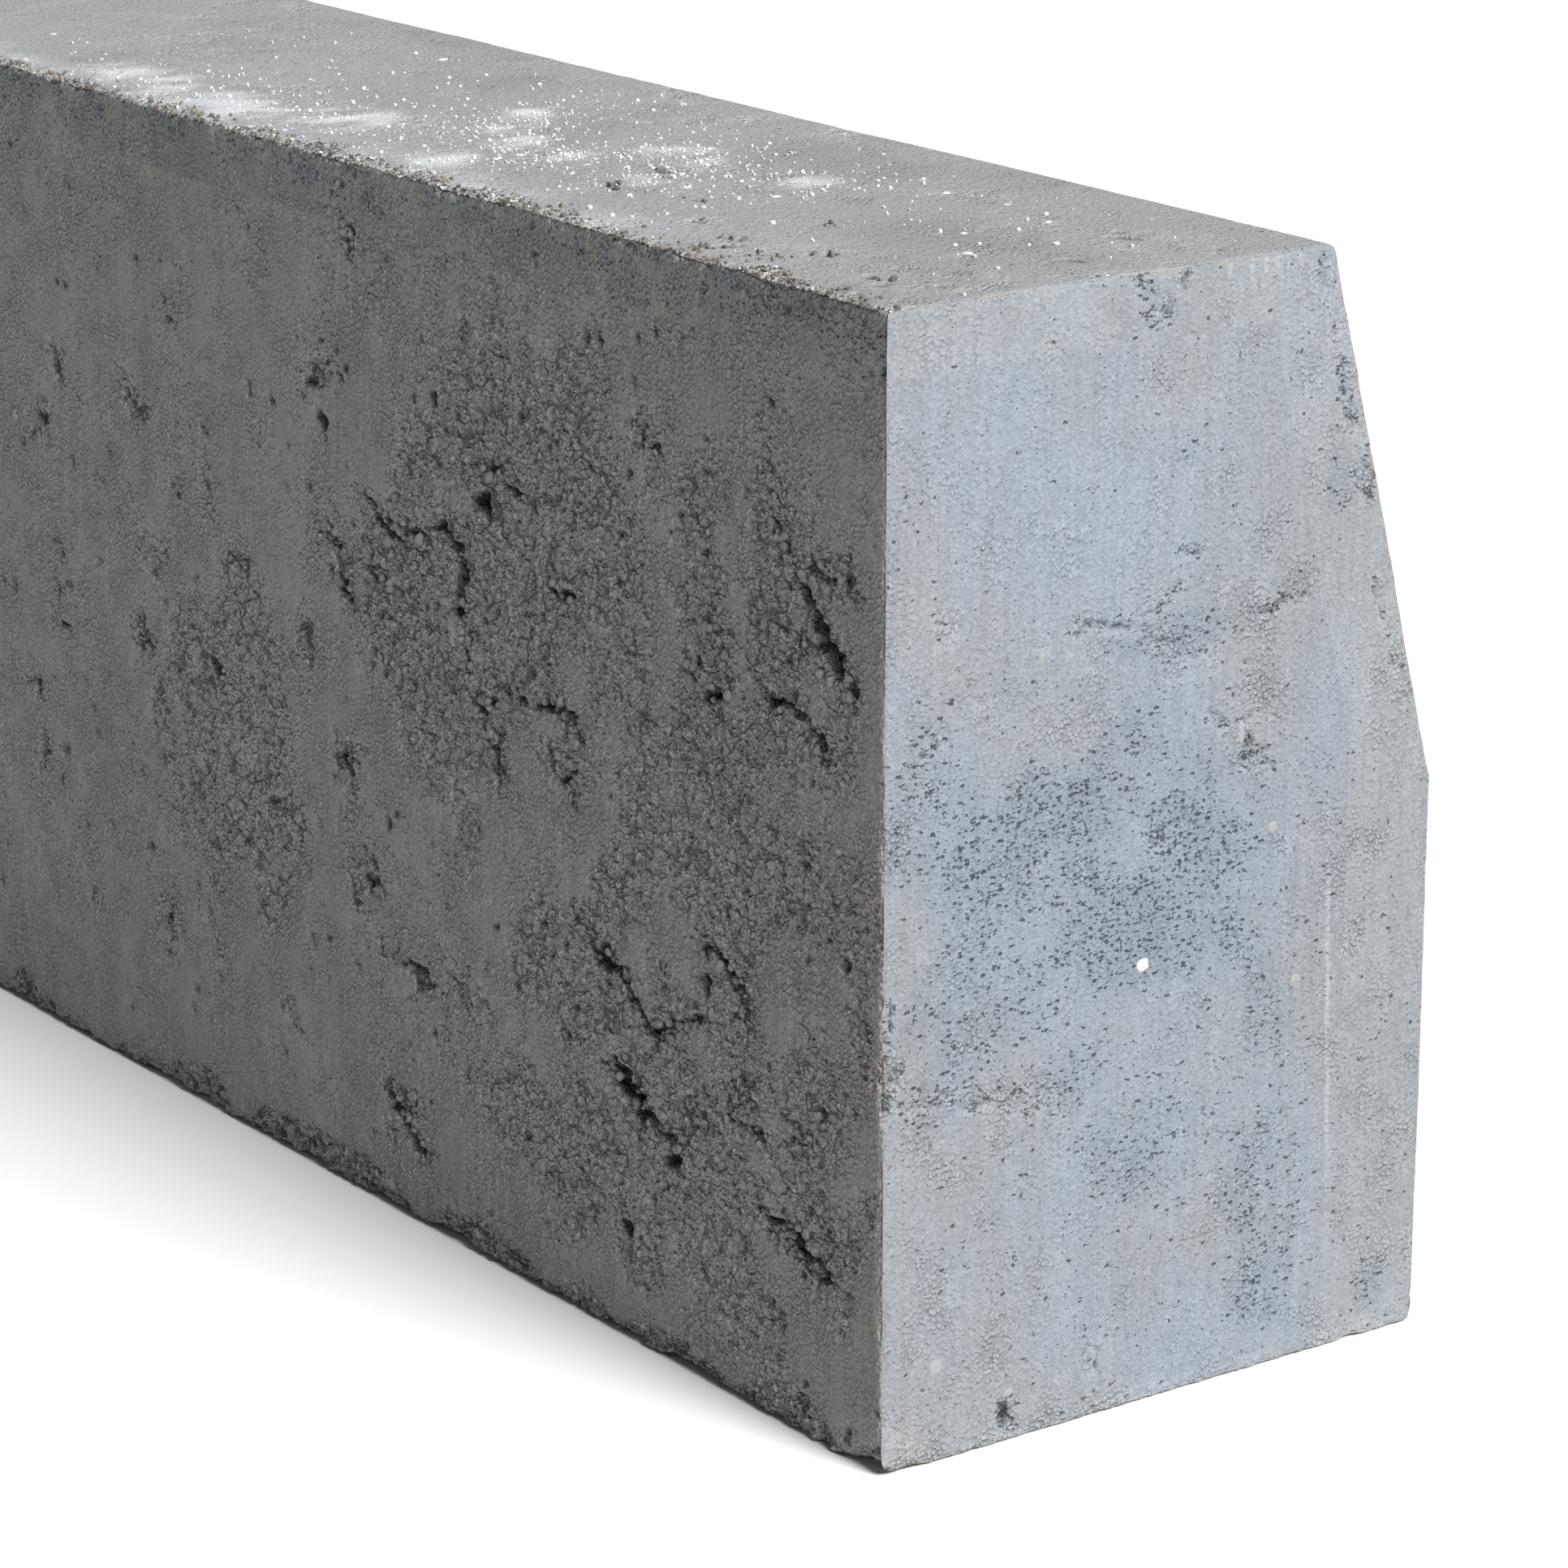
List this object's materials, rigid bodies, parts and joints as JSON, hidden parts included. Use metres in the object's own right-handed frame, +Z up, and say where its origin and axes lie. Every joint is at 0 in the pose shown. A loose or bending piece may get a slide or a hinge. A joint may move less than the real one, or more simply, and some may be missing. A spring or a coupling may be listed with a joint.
{
  "type": "precast concrete road kerb",
  "caption": "Straight precast concrete kerb with a battered upper road face, a tight top arris, an upright back, plain butt ends and a fine facing layer on a coarser backing.",
  "frame": {"origin": "middle of the base, on the surface that the kerb stands on", "axes": "+X along the kerb, +Y from the battered road face to the upright back, +Z up"},
  "size_m": [1, 0.15, 0.25],
  "materials": {
    "backing_mix": "matte",
    "facing_mix": "matte",
    "white_pebble": "matte",
    "river_gravel": "matte",
    "white_grit": "matte"
  },
  "bodies": {
    "root": {"backing_concrete": "backing_mix", "facing_concrete": "facing_mix", "white_end_pebble": "white_pebble", "end_face_stones": "river_gravel", "far_end_stones": "river_gravel", "back_face_stones": "river_gravel", "base_edge_stones": "river_gravel", "top_face_grit": "white_grit"}
  },
  "joints": []
}
